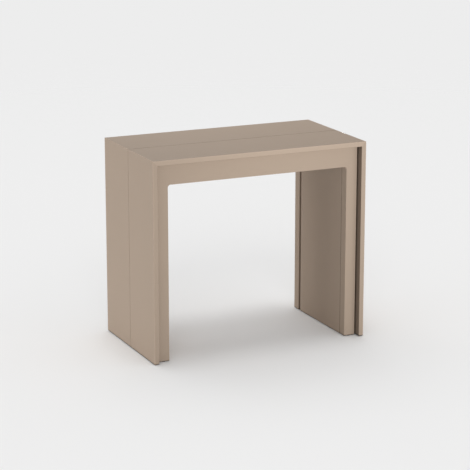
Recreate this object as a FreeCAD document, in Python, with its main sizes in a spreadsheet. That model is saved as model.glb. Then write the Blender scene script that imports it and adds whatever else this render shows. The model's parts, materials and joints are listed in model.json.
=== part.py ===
"""Extending console table: two mitred half shells that part along a seam in the top,
carried by two telescopic slides hidden behind the aprons.

Frame: X runs along the width, Y from the front edge to the rear edge, Z up.
The origin is on the floor, in the middle, under the seam.
"""
import FreeCAD, Part
import math
import os
import re
import Sketcher

# Number of rails side by side in each slide: one on each half, the rest are moving stages
RAIL_COUNT = 7

# Bolts in each front rail
BOLT_COUNT = 2

# How near two places must be to count as one, in millimetres
SAME_PLACE = 1e-5

# Every size, in millimetres, under the name of its cell
SIZES = {
    # Whole table, closed
    "overall_width": 850.0,
    "overall_depth": 470.0,
    "overall_height": 750.0,
    # Outer boards, mitred at the top corners
    "board_thickness": 18.0,
    "seam_gap": 0.9,
    "arris_radius": 1.5,
    "edge_round": 0.8,
    "seam_bevel": 1.2,
    # Portal frame inside each half: two posts and an apron cut in one piece
    "portal_setback": 25.0,
    "shadow_gap": 6.5,
    "post_width": 42.5,
    "portal_depth": 36.0,
    "apron_height": 77.0,
    "apron_thickness": 18.0,
    "portal_corner_radius": 10.0,
    # Strips that hold the posts off the side boards
    "strip_width": 20.0,
    "strip_setback": 14.0,
    "strip_end_gap": 12.0,
    # Leg boards, fixed to the front posts and reaching into the rear half
    "leg_board_proud": 0.6,
    "leg_closing_gap": 16.0,
    "leg_top_clearance": 1.5,
    "leg_bevel": 1.2,
    # Battens between a leg board and its side board
    "batten_width": 40.0,
    "batten_setback": 20.0,
    "batten_lift": 30.0,
    "batten_top_distance": 99.0,
    # Loose tongues between a leg board and its post
    "leg_tongue_thickness": 5.0,
    "leg_tongue_reach": 14.0,
    "leg_tongue_lift": 60.0,
    "leg_tongue_top_distance": 129.0,
    # Floor glides
    "glide_height": 3.0,
    "glide_width": 12.0,
    "glide_length": 30.0,
    "glide_bevel": 0.6,
    "glide_seam_distance": 50.0,
    "glide_pitch": 140.0,
    "leg_glide_distance": 100.0,
    # Glue blocks inside the mitres
    "corner_block_leg": 28.0,
    "corner_block_blunt": 5.0,
    "corner_block_length": 120.0,
    "corner_block_distance": 40.0,
    # Cleats between apron and top
    "cleat_width": 20.0,
    "cleat_height": 20.0,
    "cleat_length": 400.0,
    # Battens that carry the rear rails
    "rail_batten_width": 22.0,
    "rail_batten_height": 44.0,
    "rail_batten_length": 160.0,
    "rail_batten_distance": 15.0,
    "rail_screw_pitch": 110.0,
    # Hexagon-headed screws of the rear rails and the ties
    "screw_radius": 2.0,
    "screw_end": 2.0,
    "screw_flats": 7.0,
    "screw_head_height": 2.8,
    # Rails of the telescopic slides
    "rail_pitch": 15.0,
    "rail_height": 54.0,
    "rail_top_clearance": 1.5,
    "rail_end_clearance": 2.0,
    "rail_overlap": 100.0,
    "rail_running_gap": 0.6,
    "rail_wall": 2.2,
    "rail_floor": 3.0,
    "track_inset": 13.0,
    "tongue_neck": 6.0,
    "tongue_head": 12.0,
    "tongue_head_thickness": 2.4,
    "slot_lip": 2.4,
    "slide_clearance": 0.3,
    # Travel stops: a lug on one rail runs in the next rail's groove up to a plug
    "stop_groove_height": 9.0,
    "stop_groove_depth": 4.5,
    "lug_length": 14.0,
    "lug_inset": 5.0,
    "lug_height": 8.0,
    "lug_reach": 4.2,
    "plug_length": 14.0,
    "stop_clearance": 0.3,
    "stop_bevel": 0.8,
    # Bars that tie the left rail of a stage to the right one
    "tie_width": 24.0,
    "tie_thickness": 6.0,
    "tie_gap": 1.0,
    "tie_end_inset": 1.0,
    "tie_pitch": 34.0,
    # Bolts that hold the front rails to the leg boards by the slot
    "bolt_radius": 3.0,
    "bolt_head_length": 11.0,
    "bolt_end": 2.0,
    "bolt_pitch": 240.0,
    "bolt_front_distance": 150.0,
    "nut_flats": 10.0,
    "nut_height": 5.0,
    # Alignment tongues and magnets in the seam edges
    "seam_tongue_width": 40.0,
    "seam_tongue_thickness": 6.0,
    "seam_tongue_seat": 14.0,
    "seam_tongue_reach": 12.0,
    "seam_tongue_bevel": 1.5,
    "seam_tongue_pitch": 280.0,
    "seam_tongue_lift": 380.0,
    "magnet_width": 24.0,
    "magnet_thickness": 8.0,
    "magnet_depth": 6.0,
    "strike_depth": 2.0,
    "magnet_distance": 140.0,
    "magnet_lift": 180.0,
    "magnet_pitch": 400.0,
    # Allowances
    "fit_clearance": 0.1,
    "running_clearance": 0.3,
    "cut_overrun": 1.0,
}

# Places that several pieces share, as formulas on the sizes
HALF_WIDTH = "(overall_width / 2)"
HALF_DEPTH = "(overall_depth / 2)"
TOP_UNDERSIDE = "(overall_height - board_thickness)"
SIDE_INNER = f"({HALF_WIDTH} - board_thickness)"
SIDE_MIDDLE = f"({HALF_WIDTH} - board_thickness / 2)"
TOP_MIDDLE = f"({TOP_UNDERSIDE} + board_thickness / 2)"
POST_OUTER = f"({SIDE_INNER} - shadow_gap)"
POST_INNER = f"({POST_OUTER} - post_width)"
POST_MIDDLE = f"({POST_OUTER} - post_width / 2)"
PORTAL_FACE = f"({HALF_DEPTH} - portal_setback)"
PORTAL_BACK = f"({PORTAL_FACE} - portal_depth)"
PORTAL_MIDDLE = f"({PORTAL_FACE} - portal_depth / 2)"
APRON_BACK = f"({PORTAL_FACE} - apron_thickness)"
APRON_BOTTOM = f"({TOP_UNDERSIDE} - apron_height)"
LEG_INNER = f"({POST_INNER} - leg_board_proud)"
LEG_OUTER = f"({LEG_INNER} + board_thickness)"
LEG_MIDDLE = f"({LEG_INNER} + board_thickness / 2)"
LEG_REAR = f"({PORTAL_BACK} - leg_closing_gap)"
RAIL_TOP = f"({TOP_UNDERSIDE} - rail_top_clearance)"
RAIL_BOTTOM = f"({RAIL_TOP} - rail_height)"
RAIL_HALF_LENGTH = f"({APRON_BACK} - rail_end_clearance)"
RAIL_BODY = "(rail_pitch - rail_running_gap)"
SLOT_DEPTH = "(slot_lip + tongue_head_thickness + 2 * slide_clearance)"
RAIL_HOLLOW_OUTER = f"({SLOT_DEPTH} + rail_wall)"
RAIL_HOLLOW_INNER = f"({RAIL_BODY} - rail_wall)"
RAIL_HOLLOW_MIDDLE = f"(({RAIL_HOLLOW_OUTER} + {RAIL_HOLLOW_INNER}) / 2)"
STAGE_TRAVEL = f"(2 * {RAIL_HALF_LENGTH} - rail_overlap)"
TIE_TOP = f"({RAIL_BOTTOM} - tie_gap)"
BOLT_HEIGHT = f"({RAIL_BOTTOM} + track_inset)"
ARRIS_CUT = "arris_radius * (1 - sqrt(0.5))"
REAR_RAIL_INNER = f"({LEG_INNER} - {RAIL_COUNT - 1} * rail_pitch - {RAIL_BODY})"
RAIL_SCREW_Z = f"({RAIL_BOTTOM} + rail_height / 2)"
RAIL_SCREW_START = "(rail_batten_distance + rail_batten_length / 2 - rail_screw_pitch / 2)"
RAIL_SCREW_YS = [RAIL_SCREW_START, f"({RAIL_SCREW_START} + rail_screw_pitch)"]
SCREW_BORE = "(screw_radius + fit_clearance)"
LEG_TONGUE_BOTTOM = "(glide_height + leg_tongue_lift)"
LEG_TONGUE_LENGTH = f"({TOP_UNDERSIDE} - leg_tongue_top_distance - {LEG_TONGUE_BOTTOM})"
BOLT_YS = [f"({step} * bolt_pitch - bolt_front_distance)" for step in range(BOLT_COUNT)]
SIDE_GLIDE_YS = ["glide_seam_distance", "(glide_seam_distance + glide_pitch)"]
LEG_GLIDE_YS = ["-leg_glide_distance", "leg_glide_distance"]
SEAM_TONGUE_XS = ["-seam_tongue_pitch", "0", "seam_tongue_pitch"]
SEAM_TONGUE_ZS = ["seam_tongue_lift"]
MAGNET_XS = ["-magnet_distance", "magnet_distance"]
MAGNET_ZS = ["magnet_lift", "(magnet_lift + magnet_pitch)"]

document = FreeCAD.newDocument("extending_console_table")
sheet = document.addObject("Spreadsheet::Sheet", "sizes")
pieces = []


def fill_sheet():
    """Write each size into its own cell, as text, and name the cell."""
    for row, (name, size) in enumerate(SIZES.items(), start=1):
        sheet.set(f"A{row}", name)
        sheet.set(f"B{row}", str(size))
        sheet.setAlias(f"B{row}", name)
    document.recompute()


def on_sheet(formula):
    """Point each size name in a formula at its cell."""
    def cell(word):
        return f"sizes.{word.group()}" if word.group() in SIZES else word.group()
    return re.sub(r"[a-z]\w*", cell, formula)


def value(formula):
    """Work a formula out with the sizes on the sheet."""
    return float(sheet.evalExpression(on_sheet(formula)))


def minus(formula):
    """The same formula with its sign turned."""
    return f"-({formula})"


def bind(item, formulas):
    """Tie properties of an object to formulas on the sheet."""
    for path, formula in formulas.items():
        item.setExpression(path, on_sheet(formula))


def pin_point(sketch, shape, point, across, up):
    """Hold one point of a sketch at a place given by two formulas."""
    for kind, formula in (("DistanceX", across), ("DistanceY", up)):
        rule = Sketcher.Constraint(kind, -1, 1, shape, point, value(formula))
        bind(sketch, {f"Constraints[{sketch.addConstraint(rule)}]": formula})


def draw_outline(sketch, corners):
    """Draw a closed outline through corners, each a pair of formulas.

    A corner with three more formulas starts an arc to the next corner: the arc's centre,
    across and up, and its radius.
    """
    first = sketch.GeometryCount
    count = len(corners)
    places = [FreeCAD.Vector(value(corner[0]), value(corner[1]), 0) for corner in corners]
    ends = []
    for index, corner in enumerate(corners):
        start, end = places[index], places[(index + 1) % count]
        if len(corner) == 2:
            sketch.addGeometry(Part.LineSegment(start, end), False)
            ends.append((1, 2))
            continue
        centre = FreeCAD.Vector(value(corner[2]), value(corner[3]), 0)
        forward = (start - centre).cross(end - centre).z > 0
        turn = [place - centre for place in ((start, end) if forward else (end, start))]
        circle = Part.Circle(centre, FreeCAD.Vector(0, 0, 1), value(corner[4]))
        arc = Part.ArcOfCircle(circle, *(math.atan2(way.y, way.x) for way in turn))
        sketch.addGeometry(arc, False)
        ends.append((1, 2) if forward else (2, 1))
    for index, corner in enumerate(corners):
        follower = (index + 1) % count
        joined = Sketcher.Constraint("Coincident", first + index, ends[index][1],
                                     first + follower, ends[follower][0])
        sketch.addConstraint(joined)
        pin_point(sketch, first + index, ends[index][0], corner[0], corner[1])
        if len(corner) > 2:
            radius = Sketcher.Constraint("Radius", first + index, value(corner[4]))
            bind(sketch, {f"Constraints[{sketch.addConstraint(radius)}]": corner[4]})


def draw_rectangle(sketch, left, right, bottom, top):
    """Draw an upright rectangle between four formulas."""
    draw_outline(sketch, [(left, bottom), (right, bottom), (right, top), (left, top)])


def draw_centred(sketch, across, up, width, height):
    """Draw an upright rectangle of a width and height about a centre, all formulas."""
    draw_rectangle(sketch, f"{across} - ({width}) / 2", f"{across} + ({width}) / 2",
                   f"{up} - ({height}) / 2", f"{up} + ({height}) / 2")


def draw_circles(sketch, radius, centres):
    """Draw circles of one radius at centres given by pairs of formulas."""
    for across, up in centres:
        middle = FreeCAD.Vector(value(across), value(up), 0)
        circle = Part.Circle(middle, FreeCAD.Vector(0, 0, 1), value(radius))
        shape = sketch.addGeometry(circle, False)
        rule = Sketcher.Constraint("Radius", shape, value(radius))
        bind(sketch, {f"Constraints[{sketch.addConstraint(rule)}]": radius})
        pin_point(sketch, shape, 3, across, up)


def draw_hexagon(sketch, flats):
    """Draw a hexagon about the sketch's origin, a given size across its flats."""
    corner = f"({flats}) / sqrt(3)"
    right = [(f"{flats} / 2", f"-{corner} / 2"), (f"{flats} / 2", f"{corner} / 2"), ("0", corner)]
    left = [(minus(across), minus(up)) for across, up in right]
    draw_outline(sketch, right + left)


def at(axis, formula):
    """Make a test for edges that lie wholly at one coordinate."""
    place = value(formula)
    return lambda edge: all(abs(getattr(end.Point, axis) - place) < SAME_PLACE for end in edge.Vertexes)


def is_mitre(edge):
    """Tell whether an edge is the straight slant of a mitre."""
    run = edge.Vertexes[-1].Point - edge.Vertexes[0].Point
    return isinstance(edge.Curve, Part.Line) and abs(run.x * run.z) > SAME_PLACE


class Piece:
    """A sub-part: one body in the table's frame, whose features follow the sheet."""

    def __init__(self, label, x="0", y="0", z="0"):
        self.body = document.addObject("PartDesign::Body", label)
        self.body.Label = label
        bind(self.body, {"Placement.Base.x": x, "Placement.Base.y": y, "Placement.Base.z": z})
        pieces.append(self.body)

    def datum(self, role):
        """Find one of the body's own planes or axes."""
        return next(item for item in self.body.Origin.OriginFeatures if item.Role == role)

    def sketch(self, plane, x="0", y="0", z="0"):
        """Lay an empty sketch on a plane of the body, with its origin at a point."""
        shifts = {"XY_Plane": (x, y, z), "XZ_Plane": (x, z, minus(y)), "YZ_Plane": (y, z, x)}
        across, up, out = shifts[plane]
        sketch = self.body.newObject("Sketcher::SketchObject", "sketch")
        sketch.AttachmentSupport = [(self.datum(plane), "")]
        sketch.MapMode = "FlatFace"
        bind(sketch, {"AttachmentOffset.Base.x": across, "AttachmentOffset.Base.y": up,
                      "AttachmentOffset.Base.z": out})
        return sketch

    def pad(self, sketch, length, backwards=False):
        """Raise a sketch into a solid along its normal, or backwards."""
        pad = self.body.newObject("PartDesign::Pad", "pad")
        pad.Profile = sketch
        pad.Reversed = backwards
        bind(pad, {"Length": length})
        return pad

    def cut(self, sketch, depth, backwards=False):
        """Cut a sketch into the solid against its normal, or backwards, and see that it cuts."""
        document.recompute()
        before = self.body.Tip.Shape.Volume
        pocket = self.body.newObject("PartDesign::Pocket", "pocket")
        pocket.Profile = sketch
        pocket.Reversed = backwards
        bind(pocket, {"Length": depth})
        document.recompute()
        if not pocket.Shape.Volume < before:
            raise ValueError(f"a cut in {self.body.Label} took nothing away")
        return pocket

    def drill(self, plane, place, radius, depth, centres, backwards=False):
        """Cut round holes of one radius and depth from a plane at a point."""
        sketch = self.sketch(plane, *place)
        draw_circles(sketch, radius, centres)
        return self.cut(sketch, depth, backwards)

    def screw(self, plane, place, length):
        """A hexagon-headed screw: its head stands on a face at a point, its shank runs along the normal."""
        sketch = self.sketch(plane, *place)
        draw_hexagon(sketch, "screw_flats")
        head = self.pad(sketch, "screw_head_height", backwards=True)
        sketch = self.sketch(plane, *place)
        draw_circles(sketch, "screw_radius", [("0", "0")])
        return [head, self.pad(sketch, length)]

    def repeat(self, features, axis, length, count):
        """Repeat features, or with none named the whole piece, evenly along an axis of the body."""
        document.recompute()
        pattern = self.body.newObject("PartDesign::LinearPattern", "pattern")
        if features:
            pattern.Originals = features
        else:
            pattern.TransformMode = "Whole shape"
        pattern.Direction = (self.datum(axis), [""])
        pattern.Occurrences = count
        bind(pattern, {"Length": length})
        self.body.Tip = pattern
        return pattern

    def mirror(self, features=None):
        """Mirror features, or the whole piece, to the other side of the table."""
        document.recompute()
        mirrored = self.body.newObject("PartDesign::Mirrored", "mirrored")
        if features:
            mirrored.Originals = features
        else:
            mirrored.TransformMode = "Whole shape"
        mirrored.MirrorPlane = (self.datum("YZ_Plane"), [""])
        self.body.Tip = mirrored
        return mirrored

    def ease(self, kind, size, chosen):
        """Round or bevel the edges that a test chooses."""
        document.recompute()
        base = self.body.Tip
        edges = [f"Edge{number}" for number, edge in enumerate(base.Shape.Edges, start=1) if chosen(edge)]
        eased = self.body.newObject(f"PartDesign::{kind}", "eased")
        eased.Base = (base, edges)
        bind(eased, {"Radius" if kind == "Fillet" else "Size": size})
        return eased


class Half:
    """The front or the rear half: its name and the side of the seam that it lies on."""

    def __init__(self, name, is_rear):
        self.name = name
        self.is_rear = is_rear

    def y(self, distance):
        """A distance from the seam plane as a place along Y."""
        return f"({distance})" if self.is_rear else minus(distance)


def left_twin(label, piece):
    """Make the left-hand twin of a right-hand piece."""
    twin = document.addObject("Part::Mirroring", label)
    twin.Label = label
    twin.Source = piece.body
    twin.Normal = FreeCAD.Vector(1, 0, 0)
    pieces.append(twin)


def sink_seam_pockets(piece, half, tongues, magnets, upright):
    """Sink flat pockets into a board's seam edge for its tongues and its magnets or strike plates."""
    tongue_depth, tongue_room = "seam_tongue_seat", "fit_clearance"
    magnet_depth = "strike_depth"
    if half.is_rear:
        tongue_depth, tongue_room = "seam_tongue_reach", "running_clearance"
        magnet_depth = "magnet_depth"
    for centres, width, thickness, depth, room in (
            (tongues, "seam_tongue_width", "seam_tongue_thickness", tongue_depth, tongue_room),
            (magnets, "magnet_width", "magnet_thickness", magnet_depth, "fit_clearance")):
        sides = (f"{width} + 2 * {room}", f"{thickness} + 2 * {room}")
        sketch = piece.sketch("XZ_Plane", y=half.y("seam_gap / 2"))
        for across, up in centres:
            draw_centred(sketch, across, up, *(reversed(sides) if upright else sides))
        piece.cut(sketch, f"{depth} + {room}", backwards=not half.is_rear)


def ease_board(piece, half, outside):
    """Round a board's outer edge, and bevel the arris of its seam edge that shows."""
    at_edge = at("y", half.y(HALF_DEPTH))
    at_seam = at("y", half.y("seam_gap / 2"))
    at_floor = at("z", "glide_height")
    piece.ease("Fillet", "edge_round",
               lambda edge: at_edge(edge) and not is_mitre(edge) and not at_floor(edge))
    piece.ease("Chamfer", "seam_bevel", lambda edge: at_seam(edge) and outside(edge))


def top_panel(half):
    """Half of the top, with a mitre at each end and a rounded arris over the mitre."""
    piece = Piece(f"{half.name}_top_panel", z=TOP_UNDERSIDE)
    sketch = piece.sketch("XZ_Plane", y=half.y("seam_gap / 2"))
    arc_centre = (f"{HALF_WIDTH} - arris_radius", "board_thickness - arris_radius")
    draw_outline(sketch, [
        (minus(SIDE_INNER), "0"),
        (SIDE_INNER, "0"),
        (f"{HALF_WIDTH} - {ARRIS_CUT}", f"board_thickness - {ARRIS_CUT}", *arc_centre, "arris_radius"),
        (arc_centre[0], "board_thickness"),
        (minus(arc_centre[0]), "board_thickness", minus(arc_centre[0]), arc_centre[1], "arris_radius"),
        (minus(f"{HALF_WIDTH} - {ARRIS_CUT}"), f"board_thickness - {ARRIS_CUT}"),
    ])
    piece.pad(sketch, f"{HALF_DEPTH} - seam_gap / 2", backwards=half.is_rear)
    middle = "board_thickness / 2"
    sink_seam_pockets(piece, half, [(across, middle) for across in SEAM_TONGUE_XS],
                      [(across, middle) for across in MAGNET_XS], upright=False)
    above_middle = value(middle) + SAME_PLACE
    ease_board(piece, half, lambda edge: edge.CenterOfMass.z > above_middle)


def side_panels(half):
    """Half of each side, mitred under the top and standing on its glides."""
    piece = Piece(f"{half.name}_right_side_panel")
    sketch = piece.sketch("XZ_Plane", y=half.y("seam_gap / 2"))
    draw_outline(sketch, [
        (SIDE_INNER, "glide_height"),
        (HALF_WIDTH, "glide_height"),
        (HALF_WIDTH, "overall_height - arris_radius",
         f"{HALF_WIDTH} - arris_radius", "overall_height - arris_radius", "arris_radius"),
        (f"{HALF_WIDTH} - {ARRIS_CUT}", f"overall_height - {ARRIS_CUT}"),
        (SIDE_INNER, TOP_UNDERSIDE),
    ])
    piece.pad(sketch, f"{HALF_DEPTH} - seam_gap / 2", backwards=half.is_rear)
    sink_seam_pockets(piece, half, [(SIDE_MIDDLE, height) for height in SEAM_TONGUE_ZS],
                      [(SIDE_MIDDLE, height) for height in MAGNET_ZS], upright=True)
    beyond_middle = value(SIDE_MIDDLE) + SAME_PLACE
    ease_board(piece, half, lambda edge: edge.CenterOfMass.x > beyond_middle)
    left_twin(f"{half.name}_left_side_panel", piece)


def groove_for_tongues(piece, centres):
    """Groove a post or a leg panel for its half of a loose tongue."""
    sketch = piece.sketch("XY_Plane", z=f"{LEG_TONGUE_BOTTOM} - fit_clearance")
    for across in centres:
        draw_centred(sketch, across, minus(PORTAL_BACK), "leg_tongue_thickness + 2 * fit_clearance",
                     "2 * (leg_tongue_reach + fit_clearance)")
    piece.cut(sketch, f"{LEG_TONGUE_LENGTH} + 2 * fit_clearance", backwards=True)


def portal_frame(half):
    """Posts and apron in one piece, with the apron thinned behind to make room for the rails."""
    piece = Piece(f"{half.name}_portal_frame")
    sketch = piece.sketch("XZ_Plane", y=half.y(PORTAL_BACK))
    draw_outline(sketch, [
        (minus(POST_OUTER), "glide_height"),
        (minus(POST_INNER), "glide_height"),
        (minus(POST_INNER), APRON_BOTTOM),
        (POST_INNER, APRON_BOTTOM),
        (POST_INNER, "glide_height"),
        (POST_OUTER, "glide_height"),
        (POST_OUTER, TOP_UNDERSIDE),
        (minus(POST_OUTER), TOP_UNDERSIDE),
    ])
    piece.pad(sketch, "portal_depth", backwards=half.is_rear)
    at_apron = at("z", APRON_BOTTOM)
    piece.ease("Fillet", "portal_corner_radius",
               lambda edge: at_apron(edge) and edge.BoundBox.XLength < SAME_PLACE)
    relief = piece.sketch("XZ_Plane", y=half.y(PORTAL_BACK))
    draw_rectangle(relief, minus(POST_INNER), POST_INNER, f"{APRON_BOTTOM} - portal_corner_radius",
                   f"{TOP_UNDERSIDE} + cut_overrun")
    piece.cut(relief, "portal_depth - apron_thickness", backwards=not half.is_rear)
    if not half.is_rear:
        groove_for_tongues(piece, [sign + LEG_MIDDLE for sign in "+-"])


def spacer_strips(half):
    """Strips set back in the shadow gap, between each post and its side panel."""
    piece = Piece(f"{half.name}_spacer_strips", z="glide_height + strip_end_gap")
    sketch = piece.sketch("XY_Plane")
    outer = half.y(f"{PORTAL_FACE} - strip_setback")
    inner = half.y(f"{PORTAL_FACE} - strip_setback - strip_width")
    draw_rectangle(sketch, POST_OUTER, SIDE_INNER, inner, outer)
    piece.pad(sketch, f"{TOP_UNDERSIDE} - glide_height - 2 * strip_end_gap")
    piece.mirror()


def leg_panels():
    """Inner leg boards: from the front post back to a finger's gap before the rear post."""
    piece = Piece("front_right_leg_panel")
    sketch = piece.sketch("YZ_Plane", x=LEG_INNER)
    draw_rectangle(sketch, minus(PORTAL_BACK), LEG_REAR, "glide_height",
                   f"{TOP_UNDERSIDE} - leg_top_clearance")
    piece.pad(sketch, "board_thickness")
    groove_for_tongues(piece, [LEG_MIDDLE])
    piece.drill("YZ_Plane", (LEG_INNER, "0", "0"), "bolt_radius + running_clearance",
                "board_thickness + cut_overrun", [(along, BOLT_HEIGHT) for along in BOLT_YS],
                backwards=True)
    inside = at("x", LEG_INNER)
    upright = [at("y", minus(PORTAL_BACK)), at("y", LEG_REAR)]
    piece.ease("Chamfer", "leg_bevel", lambda edge: inside(edge) and any(test(edge) for test in upright))
    left_twin("front_left_leg_panel", piece)


def leg_battens():
    """Battens in the hollow of each front leg, between its leg panel and its side panel."""
    piece = Piece("front_leg_battens", z="glide_height + batten_lift")
    sketch = piece.sketch("XY_Plane")
    draw_rectangle(sketch, LEG_OUTER, SIDE_INNER, minus("batten_setback + batten_width"),
                   minus("batten_setback"))
    piece.pad(sketch, f"{TOP_UNDERSIDE} - batten_top_distance - batten_lift - glide_height")
    piece.mirror()


def leg_tongues():
    """Loose tongues, half in each leg panel and half in its post."""
    piece = Piece("front_leg_tongues", z=LEG_TONGUE_BOTTOM)
    sketch = piece.sketch("XY_Plane")
    draw_centred(sketch, LEG_MIDDLE, minus(PORTAL_BACK), "leg_tongue_thickness", "2 * leg_tongue_reach")
    piece.pad(sketch, LEG_TONGUE_LENGTH)
    piece.mirror()


def corner_blocks(half):
    """Three-cornered glue blocks inside the mitres, with blunted tips."""
    piece = Piece(f"{half.name}_corner_blocks")
    sketch = piece.sketch("XZ_Plane", y=half.y("corner_block_distance"))
    draw_outline(sketch, [
        (SIDE_INNER, TOP_UNDERSIDE),
        (f"{SIDE_INNER} - corner_block_leg", TOP_UNDERSIDE),
        (f"{SIDE_INNER} - corner_block_leg", f"{TOP_UNDERSIDE} - corner_block_blunt"),
        (f"{SIDE_INNER} - corner_block_blunt", f"{TOP_UNDERSIDE} - corner_block_leg"),
        (SIDE_INNER, f"{TOP_UNDERSIDE} - corner_block_leg"),
    ])
    piece.pad(sketch, "corner_block_length", backwards=half.is_rear)
    piece.mirror()


def apron_cleat(half):
    """Strip glued into the corner of the apron and the top."""
    piece = Piece(f"{half.name}_apron_cleat", z=f"{TOP_UNDERSIDE} - cleat_height")
    sketch = piece.sketch("XY_Plane")
    draw_rectangle(sketch, "-cleat_length / 2", "cleat_length / 2",
                   half.y(f"{APRON_BACK} - cleat_width"), half.y(APRON_BACK))
    piece.pad(sketch, "cleat_height")


def rail_battens():
    """Battens under the rear half of the top, which the rear rails are screwed to."""
    piece = Piece("rear_rail_battens", z=f"{TOP_UNDERSIDE} - rail_batten_height")
    inner = f"{REAR_RAIL_INNER} - rail_batten_width"
    sketch = piece.sketch("XY_Plane")
    draw_rectangle(sketch, inner, REAR_RAIL_INNER, "rail_batten_distance",
                   "rail_batten_distance + rail_batten_length")
    piece.pad(sketch, "rail_batten_height")
    height = f"{RAIL_SCREW_Z} - {TOP_UNDERSIDE} + rail_batten_height"
    piece.drill("YZ_Plane", (inner, "0", "0"), SCREW_BORE, "rail_batten_width + cut_overrun",
                [(along, height) for along in RAIL_SCREW_YS], backwards=True)
    piece.mirror()


def rail_screws():
    """Screws through the battens into the inner walls of the rear rails."""
    piece = Piece("rear_rail_screws")
    place = (f"{REAR_RAIL_INNER} - rail_batten_width", RAIL_SCREW_START, RAIL_SCREW_Z)
    screw = piece.screw("YZ_Plane", place, "rail_batten_width + rail_wall + screw_end")
    piece.repeat(screw, "Y_Axis", "rail_screw_pitch", len(RAIL_SCREW_YS))
    piece.mirror()


def glides(half):
    """Low pads under the side panels, posts and leg panels, bevelled where they slide."""
    piece = Piece(f"{half.name}_glides")
    places = [(SIDE_MIDDLE, half.y(along)) for along in SIDE_GLIDE_YS]
    places.append((POST_MIDDLE, half.y(PORTAL_MIDDLE)))
    if not half.is_rear:
        places += [(LEG_MIDDLE, along) for along in LEG_GLIDE_YS]
    sketch = piece.sketch("XY_Plane")
    for across, along in places:
        draw_centred(sketch, across, along, "glide_width", "glide_length")
    piece.pad(sketch, "glide_height")
    piece.ease("Chamfer", "glide_bevel", at("z", "0"))
    piece.mirror()


def owner(number):
    """Name of what a rail belongs to: the rear half, a stage or the front half."""
    if number == 0:
        return REAR.name
    return FRONT.name if number == RAIL_COUNT - 1 else f"stage_{number}"


def rail_x(number):
    """Outward face of a right-hand rail: the front rail lies against the leg panel."""
    return f"({LEG_INNER} - {RAIL_COUNT - 1 - number} * rail_pitch)"


def tie_y(number):
    """Middle of a stage's tie: a later stage has its tie further to the front."""
    return f"({(RAIL_COUNT - 1) / 2 - number} * tie_pitch)"


def slot_outline(height):
    """Corners of a slot in a rail's outward face: a narrow mouth and a wide chamber."""
    mouth = "(tongue_neck / 2 + slide_clearance)"
    chamber = "(tongue_head / 2 + slide_clearance)"
    steps = [("0", mouth), ("-slot_lip", mouth), ("-slot_lip", chamber), (minus(SLOT_DEPTH), chamber)]
    lower = [(across, f"{height} - {reach}") for across, reach in steps]
    upper = [(across, f"{height} + {reach}") for across, reach in reversed(steps)]
    return lower + upper


def tongue_outline(height):
    """Corners of the tongue on a rail's inward face, which runs in the next rail's slot."""
    neck = minus(f"{RAIL_BODY} + rail_running_gap + slot_lip + slide_clearance")
    head = f"{neck} - tongue_head_thickness"
    steps = [(minus(RAIL_BODY), "tongue_neck / 2"), (neck, "tongue_neck / 2"),
             (neck, "tongue_head / 2"), (head, "tongue_head / 2")]
    upper = [(across, f"{height} + {reach}") for across, reach in steps]
    lower = [(across, f"{height} - {reach}") for across, reach in reversed(steps)]
    return upper + lower


def rail_outline(has_tongues):
    """Corners of a rail's section: up its outward face, over the top and down its inward face."""
    low, high = "track_inset", "(rail_height - track_inset)"
    groove_low = "(rail_height / 2 - stop_groove_height / 2)"
    groove_high = "(rail_height / 2 + stop_groove_height / 2)"
    groove = [("0", groove_low), ("-stop_groove_depth", groove_low),
              ("-stop_groove_depth", groove_high), ("0", groove_high)]
    outward = [("0", "0"), *slot_outline(low), *groove, *slot_outline(high), ("0", "rail_height")]
    tongues = [*tongue_outline(high), *tongue_outline(low)] if has_tongues else []
    return [*outward, (minus(RAIL_BODY), "rail_height"), *tongues, (minus(RAIL_BODY), "0")]


def rail_pair(number):
    """A rail of each slide: a hollow extrusion whose tongues run in the slots of the next rail."""
    piece = Piece(f"{owner(number)}_right_rail", x=rail_x(number), z=RAIL_BOTTOM)
    sketch = piece.sketch("XZ_Plane", y=RAIL_HALF_LENGTH)
    draw_outline(sketch, rail_outline(has_tongues=number > 0))
    draw_rectangle(sketch, minus(RAIL_HOLLOW_INNER), minus(RAIL_HOLLOW_OUTER), "rail_floor",
                   "rail_height - rail_floor")
    piece.pad(sketch, f"2 * {RAIL_HALF_LENGTH}")
    if number == 0:
        piece.drill("YZ_Plane", (minus(RAIL_BODY), "0", "0"), SCREW_BORE, "rail_wall + cut_overrun",
                    [(along, "rail_height / 2") for along in RAIL_SCREW_YS], backwards=True)
    elif number < RAIL_COUNT - 1:
        piece.drill("XY_Plane", ("0", "0", "0"), SCREW_BORE, "rail_floor + cut_overrun",
                    [(minus(RAIL_HOLLOW_MIDDLE), tie_y(number))], backwards=True)
    left_twin(f"{owner(number)}_left_rail", piece)


def stops(number, label):
    """Travel stops of a pair of rails: the lug behind the tongues, the plug in the groove."""
    piece = Piece(label, z=f"{RAIL_BOTTOM} + rail_height / 2")
    lug_front = f"({RAIL_HALF_LENGTH} - lug_inset - lug_length)"
    if number > 0:
        sketch = piece.sketch("YZ_Plane", x=f"{rail_x(number)} - {RAIL_BODY}")
        draw_rectangle(sketch, lug_front, f"{lug_front} + lug_length", "-lug_height / 2", "lug_height / 2")
        piece.pad(sketch, "lug_reach", backwards=True)
    if number < RAIL_COUNT - 1:
        sketch = piece.sketch("YZ_Plane", x=f"{rail_x(number)} - stop_groove_depth")
        plug_rear = f"({lug_front} - {STAGE_TRAVEL} - stop_clearance)"
        half_height = "(stop_groove_height / 2 - fit_clearance)"
        draw_rectangle(sketch, f"{plug_rear} - plug_length", plug_rear, minus(half_height), half_height)
        piece.pad(sketch, "stop_groove_depth - running_clearance")
    piece.ease("Chamfer", "stop_bevel",
               lambda edge: max(edge.BoundBox.YLength, edge.BoundBox.ZLength) < SAME_PLACE)
    piece.mirror()


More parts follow.
